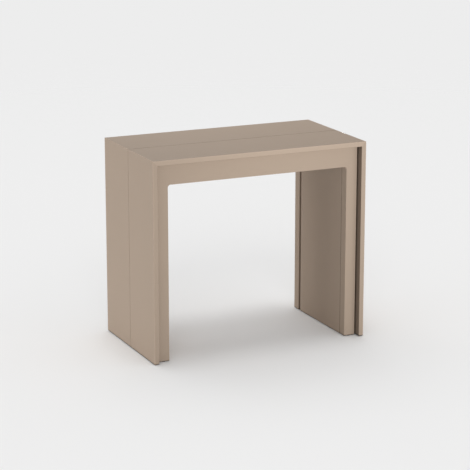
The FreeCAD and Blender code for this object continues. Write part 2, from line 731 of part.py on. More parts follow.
def cross_tie(number):
    """Bar under the rails from the left rail of a stage to the right one, thicker under those two."""
    piece = Piece(f"stage_{number}_cross_tie", y=tie_y(number), z=f"{TIE_TOP} - tie_thickness")
    end = f"({rail_x(number)} - tie_end_inset)"
    step = f"({rail_x(number)} - {RAIL_BODY} + tie_end_inset)"
    raised = "(tie_thickness + tie_gap)"
    sketch = piece.sketch("XZ_Plane", y="tie_width / 2")
    draw_outline(sketch, [
        (minus(end), "0"),
        (end, "0"),
        (end, raised),
        (step, raised),
        (step, "tie_thickness"),
        (minus(step), "tie_thickness"),
        (minus(step), raised),
        (minus(end), raised),
    ])
    piece.pad(sketch, "tie_width")
    screw_x = f"({rail_x(number)} - {RAIL_HOLLOW_MIDDLE})"
    piece.drill("XY_Plane", ("0", "0", "0"), SCREW_BORE, f"{raised} + cut_overrun",
                [(sign + screw_x, "0") for sign in "+-"], backwards=True)


def tie_screws(number):
    """Screws up through the tie's ends into the floors of the stage's rails."""
    piece = Piece(f"stage_{number}_tie_screws")
    place = (f"{rail_x(number)} - {RAIL_HOLLOW_MIDDLE}", tie_y(number), f"{TIE_TOP} - tie_thickness")
    piece.screw("XY_Plane", place, "tie_thickness + tie_gap + rail_floor + screw_end")
    piece.mirror()


def rail_bolts():
    """Bolts whose flat heads sit in the front rails' slots, with their nuts behind the leg panels."""
    piece = Piece("front_rail_bolts")
    under_head = (f"{LEG_INNER} - slot_lip", BOLT_YS[0], BOLT_HEIGHT)
    sketch = piece.sketch("YZ_Plane", *under_head)
    draw_centred(sketch, "0", "0", "bolt_head_length", "tongue_head")
    head = piece.pad(sketch, "tongue_head_thickness", backwards=True)
    sketch = piece.sketch("YZ_Plane", *under_head)
    draw_circles(sketch, "bolt_radius", [("0", "0")])
    shank = piece.pad(sketch, "slot_lip + board_thickness + nut_height + bolt_end")
    sketch = piece.sketch("YZ_Plane", LEG_OUTER, BOLT_YS[0], BOLT_HEIGHT)
    draw_hexagon(sketch, "nut_flats")
    draw_circles(sketch, "bolt_radius + fit_clearance", [("0", "0")])
    nut = piece.pad(sketch, "nut_height")
    piece.repeat([head, shank, nut], "Y_Axis", f"{BOLT_COUNT - 1} * bolt_pitch", BOLT_COUNT)
    piece.mirror()


def seam_blocks(label, tops, sides, width, thickness, start, end):
    """Flat blocks set in the seam edges between two places along Y: some lie in the top, some
    stand in each side."""
    piece = Piece(label)
    sketch = piece.sketch("XZ_Plane", y=start)
    for across in tops:
        draw_centred(sketch, across, TOP_MIDDLE, width, thickness)
    for height in sides:
        for sign in "+-":
            draw_centred(sketch, sign + SIDE_MIDDLE, height, thickness, width)
    piece.pad(sketch, f"{end} - ({start})", backwards=True)
    return piece


def alignment_tongues():
    """Tongues fixed in the front half's seam edges, bevelled where they enter the rear half."""
    tip = "(seam_gap / 2 + seam_tongue_reach)"
    piece = seam_blocks("front_alignment_tongues", SEAM_TONGUE_XS, SEAM_TONGUE_ZS, "seam_tongue_width",
                        "seam_tongue_thickness", "-seam_gap / 2 - seam_tongue_seat", tip)
    piece.ease("Chamfer", "seam_tongue_bevel", at("y", tip))


def magnets():
    """Flat magnets in the rear half's seam edges, and the steel plates in front that they hold."""
    seam_blocks("rear_magnets", MAGNET_XS, MAGNET_ZS, "magnet_width", "magnet_thickness",
                "seam_gap / 2", "seam_gap / 2 + magnet_depth")
    seam_blocks("front_strike_plates", MAGNET_XS, MAGNET_ZS, "magnet_width", "magnet_thickness",
                "-seam_gap / 2 - strike_depth", "-seam_gap / 2")


def build_half(half):
    """Everything that the two halves have in common."""
    top_panel(half)
    side_panels(half)
    portal_frame(half)
    spacer_strips(half)
    corner_blocks(half)
    apron_cleat(half)
    glides(half)


def build_slides():
    """The rails of both slides, with their stops, and the ties of the moving stages."""
    for number in range(RAIL_COUNT):
        rail_pair(number)
        if 0 < number < RAIL_COUNT - 1:
            stops(number, f"stage_{number}_stops")
            cross_tie(number)
            tie_screws(number)
    stops(0, "rear_rail_plugs")
    stops(RAIL_COUNT - 1, "front_rail_lugs")


def write_pieces():
    """See that every object came out whole, then write one file for each piece."""
    document.recompute()
    failed = [item.Label for item in document.Objects if {"Invalid", "Error"} & set(item.State)]
    broken = [piece.Label for piece in pieces if piece.Shape.isNull() or not piece.Shape.isValid()]
    if failed or broken:
        raise ValueError(f"failed: {failed}, broken: {broken}")
    os.makedirs("parts", exist_ok=True)
    for piece in pieces:
        piece.Shape.exportStep(os.path.join("parts", f"{piece.Label}.step"))
    print(f"{len(pieces)} pieces, {sum(len(piece.Shape.Solids) for piece in pieces)} solids")


REAR = Half("rear", True)
FRONT = Half("front", False)

fill_sheet()
build_half(REAR)
rail_battens()
rail_screws()
build_half(FRONT)
leg_panels()
leg_battens()
leg_tongues()
rail_bolts()
alignment_tongues()
magnets()
build_slides()
write_pieces()
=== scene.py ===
"""Looks of the extending console table: its finishes, its fasteners and the studio it stands in.

Places are in metres in the table's own frame: X runs along the width, Y from the front edge to the
rear edge, Z up, and the origin is on the floor, under the seam of the top.
"""
import json
import logging
import math
from dataclasses import dataclass, field, replace
from enum import Enum
from typing import ClassVar

import bpy
import numpy as np
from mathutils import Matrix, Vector


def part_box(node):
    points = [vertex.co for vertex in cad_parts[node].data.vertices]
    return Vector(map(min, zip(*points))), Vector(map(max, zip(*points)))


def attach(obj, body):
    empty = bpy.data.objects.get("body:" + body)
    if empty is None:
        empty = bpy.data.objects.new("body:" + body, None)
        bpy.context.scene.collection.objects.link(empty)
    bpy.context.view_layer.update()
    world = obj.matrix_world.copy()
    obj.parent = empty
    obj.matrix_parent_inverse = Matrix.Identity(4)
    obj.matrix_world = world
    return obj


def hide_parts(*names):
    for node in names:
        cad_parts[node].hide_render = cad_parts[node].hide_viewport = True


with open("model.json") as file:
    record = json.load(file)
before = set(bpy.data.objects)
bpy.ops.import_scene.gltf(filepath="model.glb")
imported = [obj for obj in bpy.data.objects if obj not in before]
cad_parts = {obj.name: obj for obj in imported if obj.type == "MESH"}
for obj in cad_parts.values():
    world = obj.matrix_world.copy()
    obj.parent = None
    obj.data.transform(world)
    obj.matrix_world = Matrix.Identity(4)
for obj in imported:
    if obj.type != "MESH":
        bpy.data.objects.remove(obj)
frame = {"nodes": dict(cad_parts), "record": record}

Colour = tuple[float, float, float]
Point = tuple[float, float, float]
Span = tuple[float, float]
Measure = np.ndarray | float

UP: Point = (0.0, 0.0, 1.0)
RIGHT: Point = (1.0, 0.0, 0.0)
WHITE: Colour = (1.0, 1.0, 1.0)
LEFT_LEG = "front_left_leg_panel"
RIGHT_LEG = "front_right_leg_panel"
STUDIO_FLOOR = "studio_floor"

log = logging.getLogger("console_table")


class Slot(Enum):
    """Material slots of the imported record."""

    LACQUER = "taupe_lacquer"
    FIBREBOARD = "raw_board"
    BEECH = "beech"
    ALUMINIUM = "aluminium"
    ZINC = "zinc_steel"
    NICKEL = "nickel"
    NYLON = "black_nylon"


class Side(Enum):
    """Left or right of the table, with its sign along X."""

    LEFT = -1
    RIGHT = 1

    @property
    def label(self) -> str:
        """Word for this side in the names of its pieces."""
        return self.name.lower()


class Half(Enum):
    """Front or rear half of the table, with its sign along Y."""

    FRONT = -1
    REAR = 1

    @property
    def body(self) -> str:
        """Body that this half's pieces ride on."""
        return self.piece("half")

    def piece(self, name: str) -> str:
        """Full name of one of this half's pieces."""
        return f"{self.name.lower()}_{name}"


@dataclass(frozen=True)
class ScreenCurve:
    """How a screen turns a colour channel into light: a straight foot, and a power above it."""

    levels: int = 255
    foot: float = 0.04045
    foot_slope: float = 12.92
    offset: float = 0.055
    power: float = 2.4

    def light(self, shown: float) -> float:
        """Turn a colour channel as it shows, from 0 to 1, into light."""
        curved = ((shown + self.offset) / (1 + self.offset)) ** self.power
        return shown / self.foot_slope if shown <= self.foot else curved

    def colour(self, shown: Colour) -> Colour:
        """Turn a colour as it shows into light."""
        red, green, blue = (self.light(channel) for channel in shown)
        return red, green, blue


SCREEN = ScreenCurve()


@dataclass(frozen=True)
class Noise:
    """A cloudy noise: lumps per metre, and how many and how strong the finer layers on them are.

    Lumps that are given for each axis, and are unequal, draw the noise out into streaks.
    """

    lumps: float | Point
    detail: float = 2.0
    roughness: float = 0.5


@dataclass(frozen=True)
class Signal:
    """A shader socket that takes part in Python expressions on values."""

    bench: "Bench"
    socket: bpy.types.NodeSocket | None
    noise_middle: ClassVar[float] = 0.5

    def output(self, key: str | int) -> "Signal":
        """Another output of the same node."""
        return Signal(self.bench, self.socket.node.outputs[key])

    def math(self, operation: str, *values: "Signal | float") -> "Signal":
        """Add a Math node that works one operation on values."""
        return self.bench.node("ShaderNodeMath", {"operation": operation}, dict(enumerate(values)))

    def __add__(self, other: "Signal | float") -> "Signal":
        """Sum of two values."""
        return self.math("ADD", self, other)

    def __radd__(self, other: float) -> "Signal":
        """Sum of a number and a value."""
        return self.math("ADD", other, self)

    def __sub__(self, other: "Signal | float") -> "Signal":
        """Difference of two values."""
        return self.math("SUBTRACT", self, other)

    def __rsub__(self, other: float) -> "Signal":
        """Difference of a number and a value."""
        return self.math("SUBTRACT", other, self)

    def __mul__(self, other: "Signal | float") -> "Signal":
        """Product of two values."""
        return self.math("MULTIPLY", self, other)

    def __rmul__(self, other: float) -> "Signal":
        """Product of a number and a value."""
        return self.math("MULTIPLY", other, self)

    def __abs__(self) -> "Signal":
        """Size of a value without its sign."""
        return self.math("ABSOLUTE", self)

    def least(self, other: "Signal | float") -> "Signal":
        """Smaller of two values."""
        return self.math("MINIMUM", self, other)

    def most(self, other: "Signal | float") -> "Signal":
        """Larger of two values."""
        return self.math("MAXIMUM", self, other)

    def swing(self, share: float) -> "Signal":
        """A share of a noise's swing to either side of its middle."""
        return share * (self - self.noise_middle)

    def step(self, start: float, end: float) -> "Signal":
        """Smooth step from 0 to 1 as a value goes from start to end."""
        return self.bench.node("ShaderNodeMapRange", {"interpolation_type": "SMOOTHSTEP"},
                               {"Value": self, "From Min": start, "From Max": end})

    def fall(self, start: float, end: float) -> "Signal":
        """Smooth fall from 1 to 0 as a value goes from start to end."""
        return 1 - self.step(start, end)

    def relief(self, depth: float) -> "Signal":
        """Normal of a surface whose height, from 0 to 1, has a given depth."""
        return self.bench.node("ShaderNodeBump", {}, {"Height": self, "Distance": depth})


class Bench:
    """Node tree of one material or of the world, to which nodes are added one by one."""

    def __init__(self, owner: bpy.types.Material | bpy.types.World) -> None:
        """Start on an empty tree.

        Args:
            owner: Material or world whose nodes these are.
        """
        owner.use_nodes = True
        self.tree = owner.node_tree
        self.tree.nodes.clear()

    def node(self, kind: str, settings: dict[str, object] | None = None,
             sockets: dict[str | int, object] | None = None, output: str | int = 0) -> Signal:
        """Add a node, set it up and fill its inputs.

        Args:
            kind: The node's type.
            settings: Its own settings, set before the inputs.
            sockets: Values or signals for its inputs, by name or number.
            output: Output to return, by name or number.

        Returns:
            The chosen output as a signal, which is empty on a node that ends the tree.
        """
        node = self.tree.nodes.new(kind)
        for name, setting in (settings or {}).items():
            setattr(node, name, setting)
        for key, value in (sockets or {}).items():
            socket = node.inputs[key]
            if isinstance(value, Signal):
                self.tree.links.new(value.socket, socket)
            elif socket.type == "RGBA":
                socket.default_value = (*value, 1.0)
            else:
                socket.default_value = value
        return Signal(self, node.outputs[output] if node.outputs else None)

    def place(self) -> Signal:
        """Point of the surface in the table's frame."""
        return self.node("ShaderNodeTexCoord", output="Object")

    def axes(self) -> tuple[Signal, Signal, Signal]:
        """The three coordinates of the surface in the table's frame."""
        across = self.node("ShaderNodeSeparateXYZ", {}, {0: self.place()})
        return across, across.output(1), across.output(2)

    def lumped(self, lumps: float | Point) -> Signal:
        """Point of the surface in lumps per metre, alike along all axes or given for each."""
        scale = np.full(3, lumps).tolist()
        return self.node("ShaderNodeMapping", {}, {"Vector": self.place(), "Scale": scale})

    def noise(self, noise: Noise) -> Signal:
        """A noise as a value from 0 to 1."""
        return self.node("ShaderNodeTexNoise", {}, {"Vector": self.lumped(noise.lumps), "Scale": 1.0,
                                                    "Detail": noise.detail, "Roughness": noise.roughness})

    def flecks(self, lumps: float | Point, size: float) -> Signal:
        """Share of fleck: one at scattered points, none further from them than a share of a lump."""
        away = self.node("ShaderNodeTexVoronoi", {}, {"Vector": self.lumped(lumps), "Scale": 1.0})
        return away.fall(0.0, size)

    def mix(self, share: Signal, first: Colour, second: Colour) -> Signal:
        """Blend of two colours, by the share of the second."""
        # Inputs 6 and 7 and output 2 are the ones for colours.
        return self.node("ShaderNodeMix", {"data_type": "RGBA"}, {0: share, 6: first, 7: second}, 2)

    def shade(self, colour: Colour | Signal, tone: Signal) -> Signal:
        """A colour made lighter or darker by a factor."""
        return self.node("ShaderNodeVectorMath", {"operation": "SCALE"}, {0: colour, "Scale": tone})

    def surface(self, **sockets: object) -> None:
        """End the tree in a surface.

        Args:
            sockets: Values or signals for its inputs by name, with _ for a blank.
        """
        named = {name.replace("_", " "): value for name, value in sockets.items()}
        shader = self.node("ShaderNodeBsdfPrincipled", {}, named)
        self.node("ShaderNodeOutputMaterial", {}, {"Surface": shader})


@dataclass(frozen=True)
class Finish:
    """What every finish has: the slot of the record that it belongs to."""

    slot: ClassVar[Slot]

    @property
    def colour(self) -> Colour:
        """Ground colour of the finish, as light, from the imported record."""
        row = next(row for row in frame["record"]["materials"] if row["slot"] == self.slot.value)
        return SCREEN.colour(row["base_color"])

    def darker(self, share: float) -> Colour:
        """Ground colour with only a share of its light."""
        red, green, blue = self.colour
        return share * red, share * green, share * blue

    def paint(self, bench: Bench) -> None:
        """Add the nodes of the finish to an empty tree."""
        raise NotImplementedError

    def material(self, name: str) -> bpy.types.Material:
        """Make a material of this finish.

        Args:
            name: The material's name.

        Returns:
            The new material.
        """
        material = bpy.data.materials.new(name)
        self.paint(Bench(material))
        return material


@dataclass(frozen=True)
class Joint:
    """Painted shade line in the bevels of a joint square to Y: its place, where it starts and ends, its
    share.
    """

    place: float = 0.0
    start: Span = (0.0005, 0.0007)
    end: Span = (0.0013, 0.0018)
    share: float = 0.14


@dataclass(frozen=True)
class Lacquer(Finish):
    """Matt sprayed lacquer: an even colour with faint clouds and fine orange peel.

    A painted highlight lightens the arrises, and painted light can lighten the outer edge face.
    Painted shade darkens the bevels of a joint square to Y, the foot, and the inner faces of the
    shadow gap near the outer end.
    """

    slot: ClassVar[Slot] = Slot.LACQUER
    arris_faces: Point
    # Painted shade line in the bevels of a joint, where the gap's shade falls.
    joint: Joint = Joint()
    # Painted shade on the inner faces of the shadow gap, near the outer end.
    inner_faces: Span = (0.0, 0.0)
    inner_step: Span = (0.0002, 0.0008)
    gap_depth: Span = (0.065, 0.085)
    gap_share: float = 0.48
    # Painted shade along the foot of each board, where the contact shadow falls.
    foot: Span = (0.0042, 0.0050)
    foot_share: float = 0.55
    # Painted light on the outer edge face.
    edge_step: Span = (0.0003, 0.0006)
    edge_share: float = 0.0
    # Painted highlight on the arrises.
    arris_width: float = 0.004
    arris_share: float = 0.12
    clouds: Noise = Noise(6.0, detail=3.0)
    cloud_share: float = 0.04
    grain: Noise = Noise(1800.0)
    grain_share: float = 0.03
    peel: Noise = Noise(600.0)
    peel_depth: float = 0.00003
    gloss: Noise = Noise(24.0)
    roughness: float = 0.55
    roughness_spread: float = 0.08
    specular: float = 0.08

    def joint_line(self, along: Signal) -> Signal:
        """Share of painted shade line: one on the bevels of the joint, none on its faces and away from it.
        """
        away = abs(along - self.joint.place)
        return away.step(*self.joint.start) * away.fall(*self.joint.end)

    def shadow_gap(self, across: Signal, up: Signal, deep: Signal) -> Signal:
        """Share of painted shade: one on the inner faces of the sides and the top, near their outer end."""
        proud = (abs(across) - self.inner_faces[0]).most(up - self.inner_faces[1])
        return proud.fall(*self.inner_step) * deep.fall(*self.gap_depth)

    def thin_film(self, near: list[Signal]) -> Signal:
        """Share of painted highlight: one on an arris, where the second nearest outer face is no distance
        away.
        """
        low, high = near[0].least(near[1]), near[0].most(near[1])
        return low.most(high.least(near[2])).fall(0.0, self.arris_width)

    def wear(self, bench: Bench) -> Signal:
        """Painted light on the arrises and edge faces, and painted shade at joints, foot and shadow gap.

        Args:
            bench: Node tree to add to.

        Returns:
            The change as a share of the colour.
        """
        across, along, up = bench.axes()
        places = (abs(across), along, up)
        near = [abs(place - face) for place, face in zip(places, self.arris_faces)]
        # Painted highlight on the arrises and painted light on the outer edge face.
        lighter = self.arris_share * self.thin_film(near) + self.edge_share * near[1].fall(*self.edge_step)
        # Painted shade in the bevels of a joint.
        darker = self.joint.share * self.joint_line(along)
        # Painted shade on the inner faces of the shadow gap.
        darker = darker + self.gap_share * self.shadow_gap(across, up, near[1])
        # Painted shade along the foot.
        return lighter - darker - self.foot_share * up.fall(*self.foot)

    def paint(self, bench: Bench) -> None:
        """Tone follows clouds, grain and the painted light and shade; gloss and relief follow noises of
        their own.

        Args:
            bench: Node tree to add to.
        """
        clouds, grain, peel, gloss = map(bench.noise, (self.clouds, self.grain, self.peel, self.gloss))
        tone = 1 + clouds.swing(self.cloud_share) + grain.swing(self.grain_share) + self.wear(bench)
        bench.surface(Base_Color=bench.shade(self.colour, tone),
                      Roughness=self.roughness + gloss.swing(self.roughness_spread),
                      Specular_IOR_Level=self.specular, Normal=peel.relief(self.peel_depth))


@dataclass(frozen=True)
class Fibreboard(Finish):
    """Sawn fibreboard: pressed fibres in two tones, with dark flecks and a rough face."""

    slot: ClassVar[Slot] = Slot.FIBREBOARD
    fibres: Noise = Noise((900.0, 260.0, 900.0), detail=4.0, roughness=0.65)
    fibre_step: Span = (0.3, 0.75)
    dark_share: float = 0.62
    clouds: Noise = Noise(30.0)
    cloud_share: float = 0.14
    fleck_lumps: float = 420.0
    fleck_size: float = 0.16
    fleck_share: float = 0.35
    ground_tone: float = 1.06
    fibre_depth: float = 0.0001
    roughness: float = 0.82

    def paint(self, bench: Bench) -> None:
        """Fibres blend the ground colour with a darker one, and flecks darken it further.

        Args:
            bench: Node tree to add to.
        """
        fibres, clouds = bench.noise(self.fibres), bench.noise(self.clouds)
        flecks = bench.flecks(self.fleck_lumps, self.fleck_size)
        ground = bench.mix(fibres.step(*self.fibre_step), self.colour, self.darker(self.dark_share))
        tone = self.ground_tone - self.fleck_share * flecks + clouds.swing(self.cloud_share)
        bench.surface(Base_Color=bench.shade(ground, tone), Roughness=self.roughness,
                      Normal=fibres.relief(self.fibre_depth))


@dataclass(frozen=True)
class Beech(Finish):
    """Planed beech with its grain along Y: fine pores and short dark rays."""

    slot: ClassVar[Slot] = Slot.BEECH
    grain: Noise = Noise((420.0, 16.0, 420.0), detail=4.0, roughness=0.6)
    grain_step: Span = (0.32, 0.7)
    dark_share: float = 0.7
    ray_lumps: Point = (900.0, 150.0, 900.0)
    ray_size: float = 0.18
    ray_share: float = 0.3
    grain_depth: float = 0.00005
    roughness: float = 0.55

    def paint(self, bench: Bench) -> None:
        """Drawn-out grain blends two tones, and the rays darken it.

        Args:
            bench: Node tree to add to.
        """
        grain = bench.noise(self.grain)
        rays = bench.flecks(self.ray_lumps, self.ray_size)
        ground = bench.mix(grain.step(*self.grain_step), self.colour, self.darker(self.dark_share))
        bench.surface(Base_Color=bench.shade(ground, 1 - self.ray_share * rays),
                      Roughness=self.roughness, Normal=grain.relief(self.grain_depth))


@dataclass(frozen=True)
class Anodised(Finish):
    """Drawn and anodised aluminium: die lines along the rail and dull bands where it slides."""

    slot: ClassVar[Slot] = Slot.ALUMINIUM
    lines: Noise = Noise((2600.0, 5.0, 2600.0), detail=3.0, roughness=0.6)
    line_share: float = 0.16
    line_depth: float = 0.00002
    bands: Noise = Noise((140.0, 1.5, 140.0))
    roughness: float = 0.34
    roughness_spread: float = 0.22

    def paint(self, bench: Bench) -> None:
        """Die lines change tone and relief, and wider bands change the gloss.

        Args:
            bench: Node tree to add to.
        """
        lines, bands = bench.noise(self.lines), bench.noise(self.bands)
        bench.surface(Base_Color=bench.shade(self.colour, 1 + lines.swing(self.line_share)), Metallic=1.0,
                      Roughness=self.roughness + bands.swing(self.roughness_spread),
                      Normal=lines.relief(self.line_depth))


@dataclass(frozen=True)
class Plated(Finish):
    """Plated steel: a cloudy bright coat with fine scratches."""

    slot: ClassVar[Slot] = Slot.ZINC
    clouds: Noise = Noise(320.0, detail=3.0)
    cloud_share: float = 0.3
    scratches: Noise = Noise((4000.0, 240.0, 1200.0))
    scratch_depth: float = 0.000012
    roughness: float = 0.32
    roughness_spread: float = 0.2

    def paint(self, bench: Bench) -> None:
        """Clouds change tone and gloss together, and scratches give the relief.

        Args:
            bench: Node tree to add to.
        """
        clouds, scratches = bench.noise(self.clouds), bench.noise(self.scratches)
        bench.surface(Base_Color=bench.shade(self.colour, 1 + clouds.swing(self.cloud_share)), Metallic=1.0,
                      Roughness=self.roughness + clouds.swing(self.roughness_spread),
                      Normal=scratches.relief(self.scratch_depth))


@dataclass(frozen=True)
class Nickel(Plated):
    """Bright nickel on the magnets, glossier than zinc."""

    slot: ClassVar[Slot] = Slot.NICKEL
    cloud_share: float = 0.12
    roughness: float = 0.2
    roughness_spread: float = 0.14


@dataclass(frozen=True)
class Nylon(Finish):
    """Moulded black nylon: a fine spark texture, greyer where it rubs."""

    slot: ClassVar[Slot] = Slot.NYLON
    sparks: Noise = Noise(1500.0)
    spark_depth: float = 0.00006
    rubs: Noise = Noise(90.0, detail=4.0)
    rub_step: Span = (0.45, 0.75)
    rub_share: float = 0.6
    rub_dulling: float = 0.15
    roughness: float = 0.52

    def paint(self, bench: Bench) -> None:
        """Rubbed patches are lighter and duller than the moulded skin.

        Args:
            bench: Node tree to add to.
        """
        sparks = bench.noise(self.sparks)
        rubbed = bench.noise(self.rubs).step(*self.rub_step)
        bench.surface(Base_Color=bench.shade(self.colour, 1 + self.rub_share * rubbed),
                      Roughness=self.roughness + self.rub_dulling * rubbed,
                      Normal=sparks.relief(self.spark_depth))


@dataclass(frozen=True)
class Box:
    """Lowest and highest corner of a node at rest."""

    low: np.ndarray
    high: np.ndarray

    @classmethod
    def of(cls, node: str) -> "Box":
        """Measure a node of the frame."""
        low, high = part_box(node)
        return cls(np.array(low), np.array(high))

    @property
    def middle(self) -> np.ndarray:
        """Centre of the box."""
        return (self.low + self.high) / 2

    @property
    def reach(self) -> float:
        """How far the box reaches from the seam along Y, to either side."""
        return max(abs(self.low[1]), abs(self.high[1]))

    def ends(self, size: float) -> Span:
        """Places along Y of the first and the last of a row of things of a given size."""
        return self.low[1] + size / 2, self.high[1] - size / 2


@dataclass(frozen=True)
class Skin:
    """A surface: its points, and its faces as arrays of point numbers, one for each count of corners.

    An axis that is steeper than a share of its length takes its turn from Y instead of Z.
    """

    points: np.ndarray
    faces: list[np.ndarray]
    steep_share: ClassVar[float] = 0.9

    @classmethod
    def joined(cls, skins: list["Skin"]) -> "Skin":
        """Put several skins into one.

        Args:
            skins: Skins in place.

        Returns:
            One skin with all their points and faces.
        """
        counts = np.cumsum([0, *(len(skin.points) for skin in skins)])
        faces = [kind + count for skin, count in zip(skins, counts) for kind in skin.faces]
        return cls(np.concatenate([skin.points for skin in skins]), faces)

    def placed(self, origin: Point, axis: Point) -> "Skin":
        """Carry a skin made about +Z to an origin, with +Z turned to an axis.

        Args:
            origin: Where the skin's own origin goes.
            axis: Direction that its +Z takes.

        Returns:
            The skin in its new place, turned without mirroring.
        """
        along = np.array(axis, float) / np.linalg.norm(axis)
        guide = np.array((0.0, 1.0, 0.0) if abs(along[2]) > self.steep_share else UP)
        across = np.cross(guide, along)
        across /= np.linalg.norm(across)
        turn = np.stack([across, np.cross(along, across), along])
        return Skin(np.array(origin) + self.points @ turn, self.faces)

    def on_both_sides(self, places: list[Point], axis: Point) -> list["Skin"]:
        """Copies at places along an axis on the right and, with X the other way round, on the left."""
        return [self.placed((side.value * across, along, up), (side.value * axis[0], *axis[1:]))
                for side in Side for across, along, up in places]

    def put_in_scene(self, name: str, material: bpy.types.Material) -> bpy.types.Object:
        """Make an object of the skin and put it in the scene.

        Args:
            name: Name of the object and of its mesh.
            material: Its finish.

        Returns:
            The new object.
        """
        mesh = bpy.data.meshes.new(name)
        mesh.from_pydata(self.points.tolist(), [], [face for kind in self.faces for face in kind.tolist()])
        mesh.materials.append(material)
        thing = bpy.data.objects.new(name, mesh)
        bpy.context.scene.collection.objects.link(thing)
        return thing


def round_angles(places: int) -> np.ndarray:
    """Angles of equal steps round a full turn."""
    return np.arange(places) * 2 * math.pi / places


def row_steps(count: int) -> np.ndarray:
    """Whole steps of a row, counted from its middle."""
    return np.arange(count) - (count - 1) / 2


def turned_rings(radii: Measure, heights: Measure, angles: np.ndarray) -> np.ndarray:
    """Points at radii and heights round the Z axis: (r cos a, r sin a, h)."""
    radii, heights, angles = np.broadcast_arrays(radii, heights, angles)
    return np.stack([radii * np.cos(angles), radii * np.sin(angles), heights], axis=-1)


def stacked_rings(rows: list[tuple[Measure, Measure]], angles: np.ndarray) -> np.ndarray:
    """One ring for each row of a radius and a height, which may change with the angle."""
    return np.stack([turned_rings(radius, height, angles) for radius, height in rows])


def wrap_rings(rings: np.ndarray, poles: Span | None) -> Skin:
    """Skin a stack of closed rings with quads.

    Args:
        rings: Points as an array of stations, places round the ring and coordinates.
        poles: Heights of the points on the axis that close the first and last ring, or None where
            the last ring joins the first.

    Returns:
        A closed skin that faces outwards where the rings turn anticlockwise and rise.
    """
    stations, places = rings.shape[:2]
    numbers = np.arange(stations * places).reshape(stations, places)
    ahead = np.roll(numbers, -1, axis=1)
    if poles is None:
        above, above_ahead = np.roll(numbers, -1, axis=0), np.roll(ahead, -1, axis=0)
        quads = np.stack([numbers, ahead, above_ahead, above], axis=-1)
        return Skin(rings.reshape(-1, 3), [quads.reshape(-1, 4)])
    quads = np.stack([numbers[:-1], ahead[:-1], ahead[1:], numbers[1:]], axis=-1).reshape(-1, 4)
    centre = rings[0, :, :2].mean(axis=0)
    ends = np.array([[*centre, height] for height in poles])
    first, last = (np.full(places, stations * places + end) for end in (0, 1))
    fans = np.concatenate([np.stack([first, ahead[0], numbers[0]], axis=-1),
                           np.stack([last, numbers[-1], ahead[-1]], axis=-1)])
    return Skin(np.concatenate([rings.reshape(-1, 3), ends]), [quads, fans])


@dataclass(frozen=True)
class Hexagon:
    """Six-sided outline about the Z axis, chamfered outside the circle of its crown."""

    flats: float
    crown_share: float
    chamfer: float = math.radians(30)
    places: int = 48

    @property
    def angles(self) -> np.ndarray:
        """Angles of the places round the outline."""
        return round_angles(self.places)

    @property
    def crown(self) -> float:
        """Radius of the circle where the chamfer starts."""
        return self.crown_share * self.flats / 2

    @property
    def outline(self) -> np.ndarray:
        """Radius at each place: half the flats over the cosine of the angle from the nearest flat."""
        sixth = math.pi / 3
        return self.flats / 2 / np.cos((self.angles + sixth / 2) % sixth - sixth / 2)

    @property
    def fall(self) -> np.ndarray:
        """Fall of the chamfer at each place: its tangent times the way from the crown to the outline."""
        return (self.outline - self.crown) * math.tan(self.chamfer)


@dataclass(frozen=True)
class Thread:
    """A vee thread on a shank."""

    radius: float
    pitch: float
    depth_share: float = 0.55
    rows_per_turn: int = 6

    @property
    def depth(self) -> float:
        """Height of the vee."""
        return self.depth_share * self.pitch

    def rings(self, start: float, end: float, angles: np.ndarray) -> np.ndarray:
        """Rings of the threaded shank between two heights.

        The radius is the crest's less the depth times a triangle wave of the turns, which are the
        height over the pitch less the angle over a full turn.

        Args:
            start: Lowest height.
            end: Highest height.
            angles: Angles of the places round each ring.

        Returns:
            The rings as an array of stations, places and coordinates.
        """
        rows = max(2, round((end - start) / self.pitch * self.rows_per_turn))
        heights = np.linspace(start, end, rows)[:, None]
        turns = (heights - start) / self.pitch - angles / (2 * math.pi)
        return turned_rings(self.radius - self.depth * abs(2 * (turns % 1) - 1), heights, angles)


@dataclass(frozen=True)
class HexScrew:
    """Screw whose six-sided head lies below Z = 0 and whose threaded shank rises above it."""

    hexagon: Hexagon
    head: float
    thread: Thread
    length: float
    dish_share: float = 0.12
    dish_radius_shares: Point = (0.5, 0.66, 0.74)
    washer_share: float = 0.1
    bearing_share: float = 0.95
    tip_share: float = 0.7

    def skin(self) -> Skin:
        """Head and shank in one skin.

        Stations run up from the crown: a dished middle, the chamfer, the six flats, a round washer
        face, the thread and a blunt tip.

        Returns:
            The closed skin.
        """
        angles, outline, half = self.hexagon.angles, self.hexagon.outline, self.hexagon.flats / 2
        dish, washer = self.dish_share * self.head, self.washer_share * self.head
        inner, outer, rim = (share * half for share in self.dish_radius_shares)
        bearing = self.bearing_share * half
        head = stacked_rings([(inner, dish - self.head), (outer, dish - self.head), (rim, -self.head),
                              (self.hexagon.crown, -self.head), (outline, self.hexagon.fall - self.head),
                              (outline, -washer), (bearing, -washer), (bearing, 0.0)], angles)
        shank = self.thread.rings(0.0, self.length - self.thread.depth, angles)
        tip = stacked_rings([(self.tip_share * self.thread.radius, self.length)], angles)
        return wrap_rings(np.concatenate([head, shank, tip]), (dish - self.head, self.length))


@dataclass(frozen=True)
class HexNut:
    """Six-sided nut on the Z axis, from Z = 0 up, with both faces chamfered."""

    hexagon: Hexagon
    height: float
    bore: float
    mouth_share: float = 0.06

    def skin(self) -> Skin:
        """Closed loop of stations: up the flats, over the chamfer, down the bore and back.

        Returns:
            The closed skin.
        """
        outline, fall, crown = self.hexagon.outline, self.hexagon.fall, self.hexagon.crown
        lead = self.mouth_share * self.height
        rows = [(outline, fall), (outline, self.height - fall), (crown, self.height),
                (self.bore + lead, self.height), (self.bore, self.height - lead), (self.bore, lead),
                (self.bore + lead, 0.0), (crown, 0.0)]
        return wrap_rings(stacked_rings(rows, self.hexagon.angles), None)


